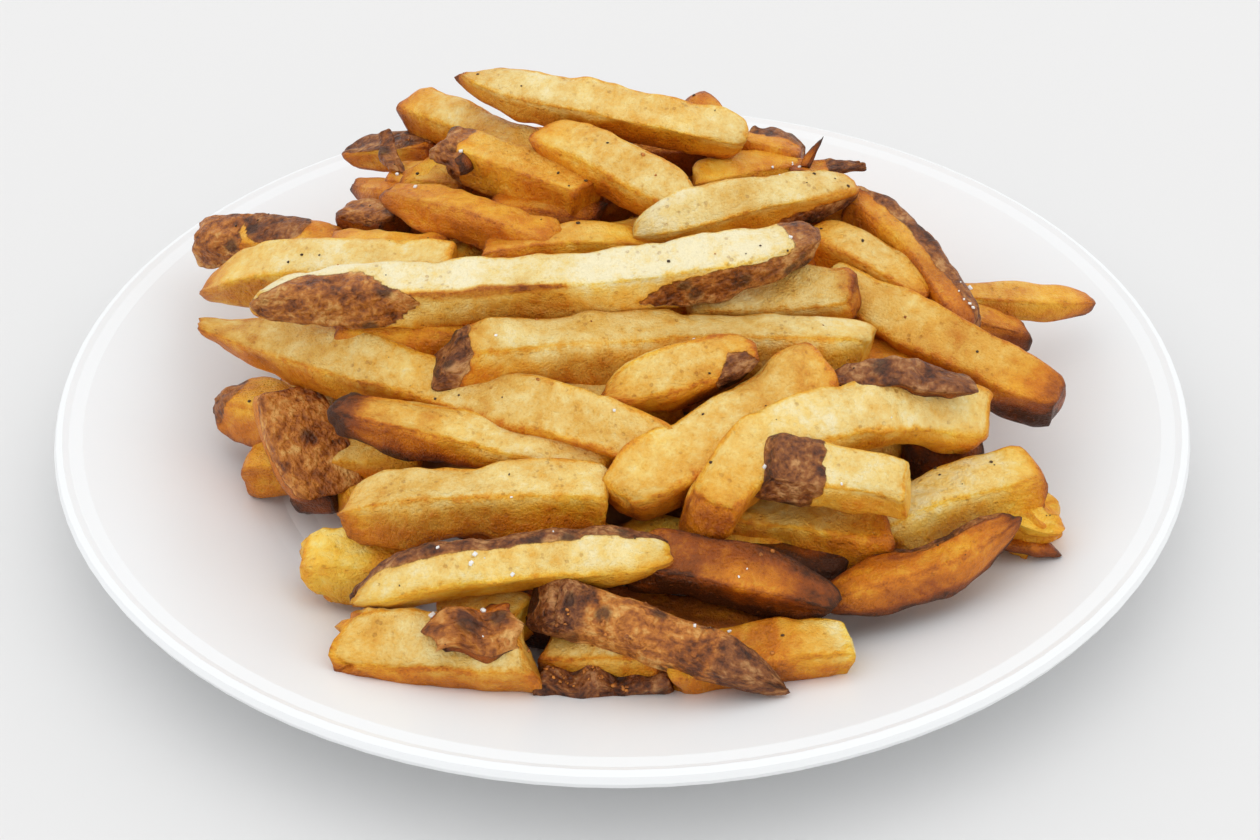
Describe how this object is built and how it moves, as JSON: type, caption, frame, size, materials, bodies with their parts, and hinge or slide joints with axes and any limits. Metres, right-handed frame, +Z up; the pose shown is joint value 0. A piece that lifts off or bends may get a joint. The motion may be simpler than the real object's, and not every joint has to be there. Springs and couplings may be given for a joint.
{
  "type": "french fries on a plate",
  "caption": "Skin-on french fries heaped on a round white dinner plate with a sloping rim and a rounded lip.",
  "frame": {"origin": "centre of the plate's foot ring, on the surface that the plate stands on", "axes": "+Z up; +Y away from the viewer of the shown side, +X to that viewer's right"},
  "size_m": [0.26, 0.26, 0.0722],
  "materials": {
    "glaze": "smooth white glaze",
    "potato": "fried, golden with browned ends and edges"
  },
  "bodies": {
    "root": {"plate": "glaze", "fries_heap": "potato"}
  },
  "joints": []
}
